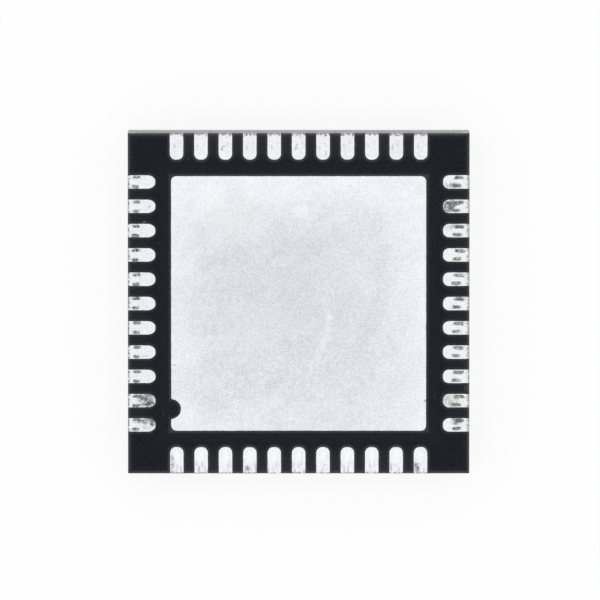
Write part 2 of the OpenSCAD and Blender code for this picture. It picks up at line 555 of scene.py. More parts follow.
# Centre and half size of the upper and the lower mark, from the wall and across the lead, each filled up to
# a vector, then how far the marks stray and how strong they are
CONTACT_MARKS = {
    "left": ((0.176, 0.096, 0), (0.077, 0.032, 1), (0.16, -0.098, 0), (0.069, 0.034, 1), 0.025, 0.97),
    "far": ((0.27, -0.065, 0), (0.05, 0.02, 1), (0.2, 0.05, 0), (0.045, 0.012, 1), 0.07, 0.2),
    "right": ((0.208, 0.085, 0), (0.099, 0.037, 1), (0.265, -0.079, 0), (0.09, 0.034, 1), 0.025, 0.97),
}
# Bright pressed spot on each near lead, from the wall and across the lead
PRESSED_SPOT = (0.33, 0.0)
PRESSED_SIZE = (0.12, 0.05)
PRESSED_SHINE = 0.5
# Centre, half size and strength of each stain
LEAD_STAINS = {
    "left": [
        ((-3.08, -1.98), (0.17, 0.14), 0.95),
        ((-3.06, -2.02), (0.07, 0.1), 0.8),
        ((-3.12, -2.42), (0.19, 0.065), 0.85),
        ((-3.0, -2.46), (0.05, 0.05), 0.7),
        ((-3.12, -2.56), (0.1, 0.05), 0.35),
        ((-3.055, 1.99), (0.02, 0.018), 0.9),
        ((-3.14, -1.08), (0.05, 0.02), 0.3),
    ],
    "far": [
        ((0.561, 3.08), (0.014, 0.07), 0.5),
        ((1.93, 3.23), (0.016, 0.05), 0.55),
        ((-0.06, 3.2), (0.012, 0.045), 0.6),
        ((-0.03, 3.26), (0.014, 0.02), 0.5),
        ((-1.57, 3.19), (0.013, 0.05), 0.6),
        ((-1.53, 3.24), (0.02, 0.014), 0.5),
        ((-1.07, 3.2), (0.01, 0.03), 0.4),
        ((-2.54, 3.22), (0.02, 0.02), 0.25),
    ],
    "right": [
        ((3.16, 2.43), (0.13, 0.05), 0.6),
        ((3.07, 2.02), (0.11, 0.12), 0.95),
        ((3.2, 2.06), (0.12, 0.05), 0.7),
        ((3.06, 1.93), (0.08, 0.06), 0.5),
        ((3.08, 1.56), (0.1, 0.05), 0.35),
        ((3.22, 1.6), (0.06, 0.05), 0.6),
        ((3.1, -2.0), (0.18, 0.12), 0.42),
        ((3.24, -2.42), (0.11, 0.06), 0.75),
    ],
    "near": [
        ((-2.59, -3.26), (0.035, 0.14), 0.65),
        ((-1.07, -3.39), (0.045, 0.05), 0.8),
        ((2.42, -3.375), (0.05, 0.08), 1.0),
    ],
}
# How far the grey band of saw specks and painted shade reaches in from the wall, how strong it is and how
# far it strays
SAW_BURR_AND_SHADE = {
    "left": (0.045, 0.9, 0.17),
    "far": (0.056, 0.85, 0.22),
    "right": (0.08, 0.72, 0.17),
    "near": (0.035, 0.8, 0.13),
}
# Pale fringe and film on the moulding by the metal, mostly painted glow of the bright metal with a little
# film that
# the plating leaves: how far they reach from the metal, from the pad and past the lead tips, how wide the
# change from row to row is, and how strong it is
FRINGE = 0.06
GLOW_AND_FILM_RIM = 0.09
GLOW_AND_FILM_SPREAD = 0.4
GLOW_AND_FILM_PAST_TIPS = (0.12, -0.3)
GLOW_AND_FILM_TURN = 0.3
GLOW_AND_FILM_STRENGTH = 0.8
# Levels of the filler between which the film and painted glow are thin and full
GLOW_AND_FILM_GAPS = (0.1, 0.8, 0.6, 1.0)
# Reach and strength of the narrow and of the wide paler band along the sawn edges, partly rubbing wear and
# partly painted highlight
EDGE_WEAR_AND_HIGHLIGHT = [(0.08, 1.0), (0.19, 0.12)]
# Filler in the moulded faces and in the sawn walls
FINE_FILLER = {"Spots_per_mm": 26.0, "Contrast": 3.0}
COARSE_FILLER = {"Spots_per_mm": 7.0, "Contrast": 1.6}
FINE_FILLER_SHARE = 0.75
CUT_FILLER = {"Spots_per_mm": 30.0, "Contrast": 3.0}
CUT_LEVELS = (0.66, 1.0)
CUT_STRENGTH = 0.45
CUT_RELIEF = 0.3
# Round grains that the saw cut through: how many, their radius by chance and their edge
GRAINS_PER_MM = 20.0
GRAIN_RADIUS = (0.5, 1.0, 0.0, 0.42)
GRAIN_EDGE = (0.0, 0.08, 0.0, 0.55)
# How the pad's bright edges wander
PAD_CLOUDS_PER_MM = 1.7
PAD_SWAY = 1.5
SCUFF_SPOTS_PER_MM = 14.0
# Distance from a lead's middle line at which its painted edge highlight starts and is brightest, and how
# strong it is
LEAD_RIM_HIGHLIGHT = (0.09, 0.135, 0.0, 0.8)
# Lines that the saw dragged on the near leads: their stretch, where they fade out and in, and their strength
DRAG_STRETCH = (1, 0.2, 1)
DRAG_REACH = (0.34, 0.1)
DRAG_STRENGTH = 0.4
BURRS_PER_MM = 21.0
# How many times as long as high the tin is that the saw smeared over copper
SMEAR_LENGTH = 5
# Two shades of a finish with the roughness there, and the depth of its relief in millimetres
SURFACES = {
    "mould_face": ((0.0, 1.0, 0.62, 0.5), 0.004),
    "mould_sawn_wall": ((0.0, 1.0, 0.34, 0.24), 0.003),
    "tin": ((0.2, 0.8, 0.52, 0.4), 0.002),
    "sawn_copper": ((0.0, 1.0, 0.68, 0.5), 0.002),
    "die_adhesive": ((0.0, 1.0, 0.6, 0.4), 0.002),
    "silicon": ((0.0, 1.0, 0.2, 0.32), 0.0005),
    "gold_wire": ((0.0, 1.0, 0.22, 0.34), 0.0),
}
METAL = {"Metallic": 1.0}
DULL_MOULD = {"Specular IOR Level": 0.1}
# Grain of the pieces that the moulding hides: spots per mm, contrast, the two colours and constant values
INNER_GRAIN = {
    "die_adhesive": (30.0, 3.0, shown(112, 114, 118), shown(178, 180, 184), {}),
    "silicon": (45.0, 2.0, shown(66, 70, 82), shown(92, 97, 112), METAL),
    "gold_wire": (40.0, 2.0, shown(206, 160, 78), shown(236, 196, 108), METAL),
}


def new_finish(name):
    """A node material; returns it with the place on the chip in millimetres."""
    finish = bpy.data.materials.new(name)
    finish.use_nodes = True
    return finish, made("ShaderNodeTexCoord", {}, "Object", tree=finish.node_tree) * (1 / MM)


def cover(finish, kind, colour, shade, height, constants):
    """Sets a finish's colour, its roughness and relief, and the values that are the same all over it."""
    roughness, relief = SURFACES[kind]
    inputs = {"Base Color": colour, "Roughness": ramp(shade, *roughness), **constants}
    if relief:
        bump = {"Height": height, "Distance": relief * MM, "Strength": 1.0}
        inputs["Normal"] = made("ShaderNodeBump", bump)
    feed(finish.node_tree.nodes["Principled BSDF"], inputs)
    return finish


def stain(place, centre, size):
    """The mask of one stain."""
    return use(PATCH, Place=place, Centre=(*centre, 0), Half_Size=(*size, 1), **STAIN_EDGE)["Mask"]


def glow_and_film_by_metal(place):
    """How much painted glow of the bright metal, with a little dull film from the plating, lies on the
    moulding, and its pale fringe by the metal.
    """
    x, y, _ = parts_of(place)
    across_x = abs(x)
    across_y = abs(y)
    outward = larger(across_x, across_y)
    along = calc("MINIMUM", across_x, across_y)
    past_tip = WALL - LEAD_LENGTH - outward
    past_row = along - (LEAD_ROW + LEAD_WIDTH) / 2
    # A lead is a box with two round corners; past the row's end only the last lead counts
    beside = larger(abs(across_lead(along)) - LEAD_WIDTH / 2, past_row)
    tip_reach = sum(reach for _, reach in LEAD_TIPS.values()) / len(SIDES)
    corner_size = (TIP_WIDTH, tip_reach, 1)
    corner = [larger(gap + size, 0.0) for gap, size in zip((beside, past_tip), corner_size)]
    shares = combined(*corner) / corner_size
    way_out = calc("LENGTH", shares)
    to_lead = way_out * (way_out - 1.0) / calc("LENGTH", shares / corner_size)
    from_notch = calc("LENGTH", place - (-PAD_HALF, NOTCH_Y, MOULD_TOP))
    to_pad = larger(outward - PAD_HALF, NOTCH_RADIUS - from_notch)
    to_metal = calc("MINIMUM", to_pad, to_lead)
    rim = ramp(to_metal, GLOW_AND_FILM_RIM, 0.0, 0.0, GLOW_AND_FILM_STRENGTH)
    spread = ramp(to_pad, GLOW_AND_FILM_SPREAD, 0.0, 0.0, GLOW_AND_FILM_STRENGTH / 3)
    in_row = ramp(past_tip, *GLOW_AND_FILM_PAST_TIPS) * ramp(past_row, GLOW_AND_FILM_RIM, 0.0)
    # The far and near rows hold more of it than the left and right ones
    share = ramp(across_y - across_x, -GLOW_AND_FILM_TURN, GLOW_AND_FILM_TURN, GLOW_AND_FILM_STRENGTH / 2, GLOW_AND_FILM_STRENGTH)
    film = larger(larger(rim, spread), in_row * share)
    return film, ramp(to_metal, FRINGE, 0.0) * (share / GLOW_AND_FILM_STRENGTH)


def mould_face_finish():
    """The moulded faces: near-black epoxy with fine filler, greyer by the metal with painted glow, and by
    the sawn edges with wear and painted highlight.
    """
    finish, place = new_finish("mould_face")
    fine = use(GRAIN, Place=place, **FINE_FILLER)["Shade"]
    coarse = use(GRAIN, Place=place, **COARSE_FILLER)["Shade"]
    shade = calc("MULTIPLY_ADD", fine, FINE_FILLER_SHARE, coarse * (1 - FINE_FILLER_SHARE))
    colour = tint(shade, MOULD_DARK, MOULD_LIGHT)
    uneven = ramp(fine, *GLOW_AND_FILM_GAPS)
    terminal_side = parts_of(place)[2] > MOULD_TOP / 2
    lying = uneven * terminal_side
    # Painted glow of the bright metal on the moulding, with a little plating film, and its paler painted
    # fringe right by the metal
    for mask, tone in zip(glow_and_film_by_metal(place), (MOULD_FILM_AND_GLOW, MOULD_GLOW_FRINGE)):
        colour = spread_on(colour, mask, lying, tone)
    # A paler band along the sawn edges: rubbing wear, with a painted highlight where the edges catch the
    # light
    to_wall = WALL - from_middle(place)
    edges = [ramp(to_wall, reach, 0.0, 0.0, strength) for reach, strength in EDGE_WEAR_AND_HIGHLIGHT]
    colour = spread_on(colour, larger(*edges), uneven, MOULD_EDGE_WEAR_AND_HIGHLIGHT)
    for centre, size, strength in MOULD_SPECKS:
        speck = stain(place, centre, size) * terminal_side
        colour = spread_on(colour, speck, strength, SPECK_GREY)
    return cover(finish, "mould_face", colour, shade, shade, DULL_MOULD)


def mould_wall_finish():
    """The sawn walls: greyer than the moulded faces, with cut filler and saw streaks."""
    finish, place = new_finish("mould_sawn_wall")
    filler = use(GRAIN, Place=place, **CUT_FILLER)["Shade"]
    grit = outputs_of(put("ShaderNodeTexVoronoi", {"Vector": place, "Scale": GRAINS_PER_MM}))
    drawn = use(STREAKS, Place=place)
    epoxy = tint(drawn["Shade"], MOULD_SAWN_DARK, MOULD_SAWN_LIGHT)
    # Round grains of filler, cut through at different widths
    radius = ramp(parts_of(grit["Color"])[0], *GRAIN_RADIUS)
    grains = ramp(radius - grit["Distance"], *GRAIN_EDGE)
    bare = larger(ramp(filler, *CUT_LEVELS) * CUT_STRENGTH, grains)
    height = calc("MULTIPLY_ADD", filler, CUT_RELIEF, drawn["Height"])
    return cover(finish, "mould_sawn_wall", tint(bare, epoxy, FILLER_CUT), filler, height, {})


def pad_finish():
    """The exposed pad: brighter towards its edges, with a few scuffs and stains."""
    finish, place = new_finish("tin_pad")
    parts = dict(zip("XYZ", parts_of(place)))
    plate = use(TIN, Place=place)
    sway = ripple(place, PAD_CLOUDS_PER_MM, 5.0) * PAD_SWAY
    dull = PAD_MIDDLE_DULL
    shiny = PAD_MIDDLE_SHINY
    for axis, start, end, strength in PAD_BRIGHT_EDGES.values():
        bright = ramp(parts[axis] + sway, start, end, 0.0, strength)
        dull = tint(bright, dull, PAD_EDGE_DULL)
        shiny = tint(bright, shiny, PAD_EDGE_SHINY)
    colour = tint(plate["Shade"], dull, shiny)
    for start, end, width, strength in PAD_SCUFFS:
        line = {"From": (*start, 0), "To": (*end, 0), "Width": width, "Spots_per_mm": SCUFF_SPOTS_PER_MM}
        colour = spread_on(colour, use(SCRATCH, Place=place, **line)["Mask"], strength, PAD_EDGE_SHINY)
    for centre, size, strength, tone in PAD_STAINS:
        colour = spread_on(colour, stain(place, centre, size), strength, tone)
    return cover(finish, "tin", colour, plate["Height"], plate["Height"], METAL)


def lead_finish(side):
    """The leads of one side: bright tin with the marks and stains that this side has."""
    finish, place = new_finish("tin_leads_" + side)
    x, y, _ = parts_of(place)
    along, out, sign = {"left": (y, x, 1), "far": (x, y, -1), "right": (y, x, -1), "near": (x, y, 1)}[side]
    from_wall = calc("MULTIPLY_ADD", out, sign, WALL)
    across = across_lead(along)
    plate = use(TIN, Place=place)
    # Painted highlight along each lead's rounded side edges
    rim = ramp(abs(across), *LEAD_RIM_HIGHLIGHT)
    colour = tint(larger(plate["Shade"], rim), LEAD_DULL[side], LEAD_SHINY)
    if side == "near":
        pressed = stain(combined(from_wall, across), PRESSED_SPOT, PRESSED_SIZE)
        colour = spread_on(colour, pressed, PRESSED_SHINE, LEAD_SHINY)
        dragged = blotches(place * DRAG_STRETCH, *DRAG_LINES) * ramp(from_wall, *DRAG_REACH)
        colour = spread_on(colour, dragged, DRAG_STRENGTH, STAIN)
    if side in CONTACT_MARKS:
        *places, strength = CONTACT_MARKS[side]
        names = ("Upper_Centre", "Upper_Half_Size", "Lower_Centre", "Lower_Half_Size", "Stray")
        marks = dict(zip(names, places))
        mask = use(MARKS, Along_Row=along, From_Wall=from_wall, Place=place, **marks)["Mask"]
        colour = spread_on(colour, mask, strength, CONTACT_GREY)
    mottled = blotches(place, *STAIN_MOTTLE)
    for centre, size, strength in LEAD_STAINS[side]:
        colour = spread_on(colour, stain(place, centre, size) * mottled, strength, STAIN)
    # A grey band at each sawn end: ragged saw burrs with painted shade where the end rounds off
    depth, strength, stray = SAW_BURR_AND_SHADE[side]
    ragged = (NOISE_MIDDLE - speckle(place, BURRS_PER_MM)) * stray
    colour = spread_on(colour, ramp(from_wall + ragged, depth, 0.0), strength, BURR_AND_SHADE_GREY)
    return cover(finish, "tin", colour, plate["Height"], plate["Height"], METAL)


def copper_finish():
    """Bare copper where the saw cut the lead frame, dulled, with tin that the saw smeared over it."""
    finish, place = new_finish("sawn_copper")
    drawn = use(STREAKS, Place=place)
    fresh = tint(drawn["Shade"], COPPER_DARK, COPPER_LIGHT)
    dulled = tint(blotches(place, *TARNISH), fresh, COPPER_TARNISH)
    smeared = blotches(place * (1, 1, SMEAR_LENGTH), *SMEARED_TIN)
    colour = tint(smeared, dulled, TIN_SMEARED)
    return cover(finish, "sawn_copper", colour, drawn["Shade"], drawn["Height"], METAL)


def inner_finish(kind):
    """What the moulding hides: adhesive with silver flakes, lapped silicon or drawn gold wire."""
    spots, contrast, low, high, constants = INNER_GRAIN[kind]
    finish, place = new_finish(kind)
    shade = use(GRAIN, Place=place, Spots_per_mm=spots, Contrast=contrast)["Shade"]
    return cover(finish, kind, tint(shade, low, high), shade, shade, constants)


# Meshes

# Objects that are only there to make the pieces from
MAKERS = []


def arc(centre, radius, start, end, steps):
    """Points on an arc, from start to end in degrees."""
    turns = [math.radians(start + (end - start) * step / steps) for step in range(steps + 1)]
    return [(centre[0] + radius * math.cos(turn), centre[1] + radius * math.sin(turn)) for turn in turns]


def run(start, end, steps):
    """Points along a straight edge, without its ends."""
    shares = [step / steps for step in range(1, steps)]
    return [tuple(a + (b - a) * share for a, b in zip(start, end)) for share in shares]


def at_height(outline, height):
    """An outline as a ring at a height."""
    return [(x, y, height) for x, y in outline]


def rounded_top(outline, top, radius):
    """Rings that round an outline's upper edge over on to its top."""
    turns = [math.pi / 2 * step / ROUNDING_STEPS for step in range(ROUNDING_STEPS + 1)]
    return [
        at_height(outline(radius * (1 - math.cos(turn))), top - radius * (1 - math.sin(turn)))
        for turn in turns
    ]


def add_rings(mesh, rings):
    """Adds rings of equal count from the bottom up, joined by walls; returns their corners."""
    loops = [[mesh.verts.new(point) for point in ring] for ring in rings]
    for lower, upper in zip(loops, loops[1:]):
        for index, corner in enumerate(lower):
            mesh.faces.new((lower[index - 1], corner, upper[index], upper[index - 1]))
    return loops


def mesh_data(name, mesh):
    """A mesh from what was built."""
    data = bpy.data.meshes.new(name)
    mesh.to_mesh(data)
    mesh.free()
    return data


def to_maker(name, mesh):
    """An object in millimetres that finished pieces are made from."""
    maker = placed(name, mesh_data(name, mesh))
    MAKERS.append(maker)
    return maker


def solid_maker(name, rings):
    """A maker with one closed solid from rings."""
    mesh = bmesh.new()
    loops = add_rings(mesh, rings)
    mesh.faces.new(loops[0][::-1])
    mesh.faces.new(loops[-1])
    return to_maker(name, mesh)


def lead_outline(inset, start, tip, ledge=0.0):
    """A lead's outline from its sawn end at x = start to its etched tip, drawn in by inset."""
    length, tip_reach = tip
    shank = length + ledge - tip_reach
    corner = LEAD_WIDTH / 2 - TIP_WIDTH
    lower = [(start + inset * SAWN_ROUNDING, inset - LEAD_WIDTH / 2)]
    lower += run(lower[0], (shank, inset - LEAD_WIDTH / 2), LEAD_STEPS)
    turns = arc((0.0, 0.0), 1.0, 0, 90, CORNER_STEPS)
    round_tip = [(shank + (tip_reach - inset) * x, corner + (TIP_WIDTH - inset) * y) for x, y in turns]
    upper = round_tip + mirrored(lower)
    return mirrored(upper) + upper


def mirrored(points):
    """The points on the other side of a lead's middle line, in the opposite order."""
    return [(x, -y) for x, y in reversed(points)]


def lead_blank(name, start, tip):
    """One lead along X, its ledge locked under the moulding and its plated edges rounded."""
    ledge = lead_outline(LEDGE_UNDERCUT, start, tip, LEAD_LEDGE)
    rings = [at_height(ledge, FRAME_INNER), at_height(ledge, LEDGE_TOP)]
    rings.append(at_height(lead_outline(0.0, start, tip), LEDGE_TOP))
    rings += rounded_top(lambda inset: lead_outline(inset, start, tip), TERMINAL_TOP, PLATED_ROUNDING)
    return solid_maker(name, rings)


def pad_outline(inset):
    """The exposed pad's outline with its pin 1 notch, drawn in by inset."""
    edge = PAD_HALF - inset
    corner = PAD_HALF - PAD_CORNER
    radius = PAD_CORNER - inset
    lip_y = math.sqrt((NOTCH_RADIUS + NOTCH_LIP) ** 2 - NOTCH_LIP**2)
    lip_x = NOTCH_LIP - PAD_HALF
    lip_turn = math.degrees(math.atan2(lip_y, NOTCH_LIP))
    lip_radius = NOTCH_LIP - inset
    outline = arc((-corner, -corner), radius, 180, 270, CORNER_STEPS)
    outline += run((-corner, -edge), (corner, -edge), PAD_STEPS)
    outline += arc((corner, -corner), radius, 270, 360, CORNER_STEPS)
    outline += run((edge, -corner), (edge, corner), PAD_STEPS)
    outline += arc((corner, corner), radius, 0, 90, CORNER_STEPS)
    outline += run((corner, edge), (-corner, edge), PAD_STEPS)
    outline += arc((-corner, corner), radius, 90, 180, CORNER_STEPS)
    outline += run((-edge, corner), (-edge, NOTCH_Y + lip_y), NOTCHED_EDGE_STEPS)
    outline += arc((lip_x, NOTCH_Y + lip_y), lip_radius, 180, 180 + lip_turn, LIP_STEPS)
    outline += arc((-PAD_HALF, NOTCH_Y), NOTCH_RADIUS + inset, lip_turn, -lip_turn, NOTCH_STEPS)[1:-1]
    outline += arc((lip_x, NOTCH_Y - lip_y), lip_radius, 180 - lip_turn, 180, LIP_STEPS)
    # Etching leaves the pad a little smaller than it is drawn
    return [(x * PAD_ETCHED[0], y * PAD_ETCHED[1]) for x, y in outline]


def ledge_outline(wall):
    """The half-etched ledge round the pad with its four tie bars, cut off at the walls."""
    edge = PAD_HALF + PAD_LEDGE
    spread = TIE_BAR_WIDTH / math.sqrt(2)
    corner = [(edge, edge - spread), (wall, wall - spread), (wall, wall)]
    corner += [(wall - spread, wall), (edge - spread, edge)]
    outline = []
    for _ in SIDES:
        outline += corner
        corner = [(-y, x) for x, y in corner]
    return outline


def paddle_blank(name, wall):
    """The paddle: the exposed pad on its half-etched ledge, with the tie bars."""
    mesh = bmesh.new()
    pad_rings = [at_height(pad_outline(0.0), LEDGE_TOP)]
    pad_rings += rounded_top(pad_outline, TERMINAL_TOP, PLATED_ROUNDING)
    pad = add_rings(mesh, pad_rings)
    ledge = add_rings(mesh, [at_height(ledge_outline(wall), height) for height in (FRAME_INNER, LEDGE_TOP)])
    mesh.faces.new(pad[-1])
    mesh.faces.new(ledge[0][::-1])
    # The ledge's upper face, round the pad
    corners = ledge[-1] + pad[0]
    loops = [[corner.co for corner in loop] for loop in (ledge[-1], pad[0])]
    triangles = geometry.tessellate_polygon(loops)
    level = [mesh.faces.new([corners[index] for index in triangle]) for triangle in triangles]
    between = dict.fromkeys(edge for face in level for edge in face.edges)
    bmesh.ops.beautify_fill(mesh, faces=level, edges=list(between))
    bmesh.ops.recalc_face_normals(mesh, faces=mesh.faces)
    for face in mesh.faces:
        middle = face.calc_center_median()
        face.material_index = int(max(abs(middle.x), abs(middle.y)) > WALL - LEDGE_UNDERCUT)
    return to_maker(name, mesh)


def sawn_ring(height_and_inset):
    """A ring round the walls; the function gives each point's height and its distance from the wall."""
    ring = []
    reach = WALL - CORNER_NICK
    for turn in range(len(SIDES)):
        spin = Matrix.Rotation(turn * math.pi / 2, 3, "Z")
        for step in range(SAWN_STEPS + 1):
            place = spin @ Vector((WALL, reach * (2 * step / SAWN_STEPS - 1), 0))
            height, inset = height_and_inset(place)
            ring.append(place - spin @ Vector((inset, 0, 0)) + Vector((0, 0, height)))
    return ring


def chip_depth(place, level):
    """How far the saw chipped an edge at a place."""
    coarse = noise.noise(Vector((place.x, place.y, level)) * CHIPS_PER_MM)
    fine = noise.noise(Vector((place.x, place.y, level + FINE_CHIPS)) * CHIPS_PER_MM * FINE_CHIPS)
    chance = min(1.0, max(0.0, coarse * COARSE_CHIP_SHARE + fine * FINE_CHIP_SHARE))
    return CHIP_LEAST + (CHIP_MOST - CHIP_LEAST) * chance**2


def mould_block():
    """The moulding before its pockets are cut, with finely chipped sawn edges."""

    def edge(level, height_share, inset_share, way):
        """A ring along an edge, moved up or down and inwards by shares of each chip."""

        def at(place):
            chip = chip_depth(place, level)
            return level + way * height_share * chip, inset_share * chip

        return sawn_ring(at)

    chipped = [(0, 1), (CHIP_BEVEL, CHIP_BEVEL), (1, 0)]
    rings = [edge(0.0, *shares, 1) for shares in chipped]
    rings += [edge(MOULD_TOP, *shares, -1) for shares in reversed(chipped)]
    return solid_maker("mould_block", rings)


def dimple_blank():
    """The pin 1 dimple in the marked face, with a soft rim and a round floor edge."""
    profile = [(-CUT_PAST, DIMPLE_RADIUS + DIMPLE_RIM), (0.0, DIMPLE_RADIUS + DIMPLE_RIM)]
    profile += [(DIMPLE_RIM / 3, DIMPLE_RADIUS + DIMPLE_RIM / 3), (DIMPLE_RIM, DIMPLE_RADIUS)]
    floor_edge = arc((0.0, 0.0), DIMPLE_RIM, 0, 90, ROUNDING_STEPS)
    floor_turn = DIMPLE_DEPTH - DIMPLE_RIM
    profile += [(floor_turn + y, DIMPLE_RADIUS - DIMPLE_RIM + x) for x, y in floor_edge]
    centre = (DIMPLE_FROM_WALL - WALL, DIMPLE_FROM_WALL - WALL)
    last = 360 - 360 / DIMPLE_STEPS
    rings = [at_height(arc(centre, radius, 0, last, DIMPLE_STEPS - 1), height) for height, radius in profile]
    return solid_maker("dimple_blank", rings)


def box_blank(name, low, high):
    """A plain block between two corners, to cut a pocket with."""
    outline = [(low.x, low.y), (high.x, low.y), (high.x, high.y), (low.x, high.y)]
    return solid_maker(name, [at_height(outline, low.z), at_height(outline, high.z)])


# Geometry trees


def geometry_tree(name, inputs):
    """A geometry tree that passes a geometry on."""
    return new_tree("GeometryNodeTree", name, {"Geometry": "Geometry", **inputs}, {"Geometry": "Geometry"})


def shaped(kind, **inputs):
    """What a geometry node makes of its inputs."""
    return made("GeometryNode" + kind, spaced(inputs))


def lead_row_tree():
    """A row of leads along one wall, with bare metal on their sawn ends."""
    inputs = {"Lead": "Object", "Count": "Int", "Pitch": "Float", "Wall": "Float", "Turn": "Float"}
    inputs.update({"Plate": "Material", "Sawn End": "Material"})
    tree, given, result = geometry_tree("lead row", inputs)
    half_row = given["Pitch"] * ((given["Count"] - 1.0) / 2.0)
    first = combined(given["Wall"] * -1.0, half_row * -1.0)
    step = combined(0.0, given["Pitch"])
    places = shaped("MeshLine", Count=given["Count"], Start_Location=first, Offset=step)
    lead = made("GeometryNodeObjectInfo", {"Object": given["Lead"]}, "Geometry")
    row = shaped("InstanceOnPoints", Points=places, Instance=lead)
    turned = shaped("Transform", Geometry=row, Rotation=combined(0.0, 0.0, given["Turn"]))
    solid = shaped("RealizeInstances", Geometry=turned)
    plated = shaped("SetMaterial", Geometry=solid, Material=given["Plate"])
    out = {"Vector": (-1, 0, 0), "Angle": given["Turn"]}
    outward = made("ShaderNodeVectorRotate", out, rotation_type="Z_AXIS")
    facing = made("GeometryNodeInputNormal", {}, tree=tree)
    sawn = calc("DOT_PRODUCT", facing, outward) > SAWN
    bare = shaped("SetMaterial", Geometry=plated, Selection=sawn, Material=given["Sawn End"])
    feed(result, {"Geometry": bare})
    return tree


def etched_edge_tree():
    """Lets the edges of etched metal wander a little, but not where the saw cut them."""
    inputs = {"Wander": "Float", "Waves per mm": "Float", "Wall": "Float", "Above": "Float"}
    tree, given, result = geometry_tree("etched edge", inputs)
    place = made("GeometryNodeInputPosition", {}, tree=tree)
    facing = made("GeometryNodeInputNormal", {}, tree=tree) * FLAT
    inside = calc("MULTIPLY", given["Wall"] - from_middle(place), WANDER_GROWTH, clamp=True)
    above = parts_of(place)[2] > given["Above"]
    wave = ripple(place, given["Waves per mm"]) * given["Wander"]
    offset = facing * (wave * (inside * above))
    feed(result, {"Geometry": shaped("SetPosition", Geometry=given["Geometry"], Offset=offset)})
    return tree


def drawn_wire_tree():
    """Round wire along each line, with a pressed ball at both its ends."""
    inputs = {"Wire Radius": "Float", "Ball Radius": "Float", "Ball Height": "Float", "Metal": "Material"}
    tree, given, result = geometry_tree("drawn wire", inputs)
    line = shaped("MeshToCurve", Mesh=given["Geometry"])
    section = shaped("CurvePrimitiveCircle", Resolution=WIRE_SIDES, Radius=given["Wire Radius"])
    wire = shaped("CurveToMesh", Curve=line, Profile_Curve=section, Fill_Caps=True)
    sphere = {"Segments": BALL_SEGMENTS, "Rings": BALL_RINGS, "Radius": 1.0}
    ball = made("GeometryNodeMeshUVSphere", sphere, tree=tree)
    ends = made("GeometryNodeCurveEndpointSelection", {}, tree=tree)
    pressed = combined(given["Ball Radius"], given["Ball Radius"], given["Ball Height"])
    balls = shaped("InstanceOnPoints", Points=line, Selection=ends, Instance=ball, Scale=pressed)
    both = put("GeometryNodeJoinGeometry", {}, tree)
    for part in (balls, wire):
        feed(both, {"Geometry": part})
    solid = shaped("RealizeInstances", Geometry=Flow(both.outputs[0]))
    feed(result, {"Geometry": shaped("SetMaterial", Geometry=solid, Material=given["Metal"])})
    return tree


def grow(maker, tree, **values):
    """Gives a maker a geometry tree and sets its named inputs."""
    modifier = maker.modifiers.new(tree.name, "NODES")
    modifier.node_group = tree
    named = {item.name: item.identifier for item in tree.interface.items_tree if item.in_out == "INPUT"}
    for name, value in spaced(values).items():
        modifier[named[name]] = value


def settle(maker, name, sharp_degrees=SHARP_EDGE):
    """A plain piece in metres from a maker, smooth but for its level faces and sharp edges."""
    depsgraph = bpy.context.evaluated_depsgraph_get()
    data = bpy.data.meshes.new_from_object(maker.evaluated_get(depsgraph), depsgraph=depsgraph)
    mesh = bmesh.new()
    mesh.from_mesh(data)
    # Cuts leave spare corners where only two edges meet
    spare = [corner for corner in mesh.verts if len(corner.link_edges) == 2]
    bmesh.ops.dissolve_verts(mesh, verts=spare)
    mesh.to_mesh(data)
    mesh.free()
    data.transform(Matrix.Scale(MM, 4))
    data.shade_smooth()
    data.set_sharp_from_angle(angle=math.radians(sharp_degrees))
    for face in data.polygons:
        face.use_smooth = abs(face.normal.z) < LEVEL
    return placed(name, data)


def mount(piece, nodes):
    """Fixes a finished piece to the chip in place of its nodes."""
    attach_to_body(piece, "root")
    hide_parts(*nodes)


# Pieces

# What the rows of leads and the paddle share
COPPER = copper_finish()
ROW_TREE = lead_row_tree()
EDGE_TREE = etched_edge_tree()
WANDER = {
    "Wander": EDGE_WANDER,
    "Waves_per_mm": WANDER_PER_MM,
    "Wall": WALL,
    "Above": LEDGE_TOP + LEDGE_UNDERCUT,
}


def lead_row_maker(name, blank, side, plate):
    """A row of leads, or of cutters for their pockets, along one wall."""
    maker = to_maker(name, bmesh.new())
    row = {"Count": LEADS_PER_SIDE, "Pitch": LEAD_PITCH, "Wall": WALL, "Turn": -side * math.pi / 2}
    grow(maker, ROW_TREE, Lead=blank, Plate=plate, Sawn_End=COPPER, **row)
    grow(maker, EDGE_TREE, **WANDER)
    return maker


def make_leads():
    """Makes the four rows of leads; returns the makers that cut their pockets."""
    cutters = []
    for side, name in enumerate(SIDES):
        plate = lead_finish(name)
        lead = lead_blank("lead_blank", 0.0, LEAD_TIPS[name])
        lead_cutter = lead_blank("lead_cutter", -CUT_PAST, LEAD_TIPS[name])
        row = lead_row_maker("lead_row_" + name, lead, side, plate)
        cutters.append(lead_row_maker("lead_row_cutter_" + name, lead_cutter, side, plate))
        first = side * LEADS_PER_SIDE + 1
        nodes = [f"lead_{number:02d}" for number in range(first, first + LEADS_PER_SIDE)]
        mount(settle(row, "leads_" + name), nodes)
    return cutters


def make_paddle():
    """Makes the paddle with the exposed pad; returns the maker that cuts its pocket."""
    paddle = paddle_blank("paddle_blank", WALL)
    paddle.data.materials.append(pad_finish())
    paddle.data.materials.append(COPPER)
    cutter = paddle_blank("paddle_cutter", WALL + CUT_PAST)
    for maker in (paddle, cutter):
        grow(maker, EDGE_TREE, **WANDER)
    mount(settle(paddle, "exposed_pad"), ["die_paddle"])
    return cutter


